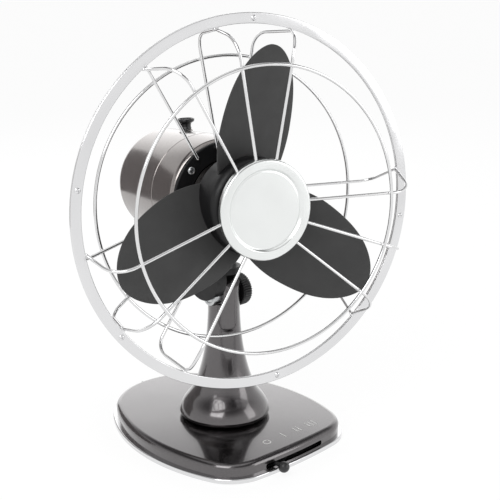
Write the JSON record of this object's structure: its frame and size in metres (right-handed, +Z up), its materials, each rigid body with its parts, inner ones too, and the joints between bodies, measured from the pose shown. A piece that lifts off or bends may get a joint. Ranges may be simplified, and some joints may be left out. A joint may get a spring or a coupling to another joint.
{
  "type": "desk fan",
  "caption": "Oscillating desk fan: leaf blades in an open wire guard with a flat rim, drum motor, flared neck and domed base.",
  "frame": {"origin": "on the floor under the neck's axis", "axes": "+Z up along the neck, -Y towards the front of the base with its speed slot, +X to the right"},
  "size_m": [0.3375, 0.2793, 0.4262],
  "materials": {
    "gunmetal_paint": "glossy metallic paint",
    "chrome_trim": "bright chrome plate",
    "chrome_wire": "bright chrome plate on drawn wire",
    "plated_steel": "zinc plate",
    "black_rubber": "matte",
    "cast_weight": "as cast",
    "laminated_iron": "stacked laminations",
    "black_plastic": "satin moulded",
    "black_enamel": "semi-gloss enamel",
    "blade_paint": "matte charcoal enamel",
    "silver_paint": "glossy silver lacquer",
    "brushed_badge": "polished",
    "bronze": "machined",
    "die_cast": "as cast"
  },
  "bodies": {
    "stand": {"base_shell": "gunmetal_paint", "base_trim": "chrome_trim", "base_plate": "plated_steel", "rubber_feet": "black_rubber", "base_screws": "plated_steel", "ballast": "cast_weight", "speed_switch": "black_plastic", "cord_grommet": "black_rubber", "neck_column": "gunmetal_paint", "neck_screws": "plated_steel", "tilt_bolt": "plated_steel", "tilt_washer": "plated_steel"},
    "speed_slider": {"speed_lever": "black_plastic", "lever_ball": "black_plastic"},
    "clamp_knob": {"tilt_knob": "black_plastic", "knob_insert": "bronze"},
    "bracket": {"tilt_bracket": "black_enamel", "tilt_disc": "plated_steel", "pivot_post": "plated_steel", "post_collar": "plated_steel", "thrust_washer": "bronze", "link_stud": "plated_steel"},
    "link": {"drive_link": "plated_steel"},
    "head": {"motor_front_housing": "silver_paint", "motor_rear_housing": "silver_paint", "stator_core": "laminated_iron", "stator_coils": "black_plastic", "front_bearing": "bronze", "rear_bearing": "bronze", "bearing_bridge": "die_cast", "gear_frame": "plated_steel", "guard_mount_plate": "black_enamel", "guard_screws": "plated_steel", "rim_front": "chrome_trim", "rim_rear": "chrome_trim", "rim_screws": "chrome_trim", "rim_nuts": "chrome_trim", "front_ring": "chrome_wire", "rear_ring": "chrome_wire", "badge": "brushed_badge", "badge_plate": "plated_steel", "front_spokes_1": "chrome_wire", "front_spokes_2": "chrome_wire", "front_spokes_3": "chrome_wire", "rear_spokes_1": "chrome_wire", "rear_spokes_2": "chrome_wire", "rear_spokes_3": "chrome_wire"},
    "clutch": {"clutch_knob": "black_plastic", "clutch_stem": "plated_steel"},
    "rotor": {"motor_shaft": "plated_steel", "rotor_core": "laminated_iron", "worm": "plated_steel", "blade_hub": "black_enamel", "hub_nut": "plated_steel", "blade_1": "blade_paint", "blade_2": "blade_paint", "blade_3": "blade_paint"},
    "gear": {"worm_wheel": "bronze", "crank_shaft": "plated_steel", "crank_disc": "plated_steel"}
  },
  "joints": [
    {"name": "speed_slide", "type": "slide", "parent": "stand", "child": "speed_slider", "axis": [1, 0, 0], "range_m": [-0.009, 0.061]},
    {"name": "tilt_knob_turn", "type": "hinge", "parent": "stand", "child": "clamp_knob", "pos_m": [0.0193, 0, 0.149], "axis": [1, 0, 0], "range_deg": [0, 360]},
    {"name": "head_tilt", "type": "hinge", "parent": "stand", "child": "bracket", "pos_m": [0, 0, 0.149], "axis": [-1, 0, 0], "range_deg": [-3, 20]},
    {"name": "head_oscillation", "type": "hinge", "parent": "bracket", "child": "head", "pos_m": [0, 0.00686, 0.24707], "axis": [0, 0.0698, 0.9976], "range_deg": [-14, 46]},
    {"name": "link_swing", "type": "hinge", "parent": "bracket", "child": "link", "pos_m": [0.015, 0.00223, 0.18092], "axis": [0, 0.0698, 0.9976], "range_deg": [-14, 46]},
    {"name": "fan_spin", "type": "hinge", "parent": "head", "child": "rotor", "pos_m": [0, 0.00686, 0.24707], "axis": [0.2756, 0.9589, -0.0671], "continuous": true},
    {"name": "wheel_spin", "type": "hinge", "parent": "head", "child": "gear", "pos_m": [0.04143, 0.09671, 0.24079], "axis": [0, 0.0698, 0.9976], "continuous": true},
    {"name": "clutch_pull", "type": "slide", "parent": "head", "child": "clutch", "axis": [0, 0.0698, 0.9976], "range_m": [0, 0.006]}
  ],
  "couplings": [
    {"joint": "link_swing", "follows": "head_oscillation", "ratio": 1},
    {"joint": "wheel_spin", "follows": "fan_spin", "ratio": 0.033333}
  ]
}
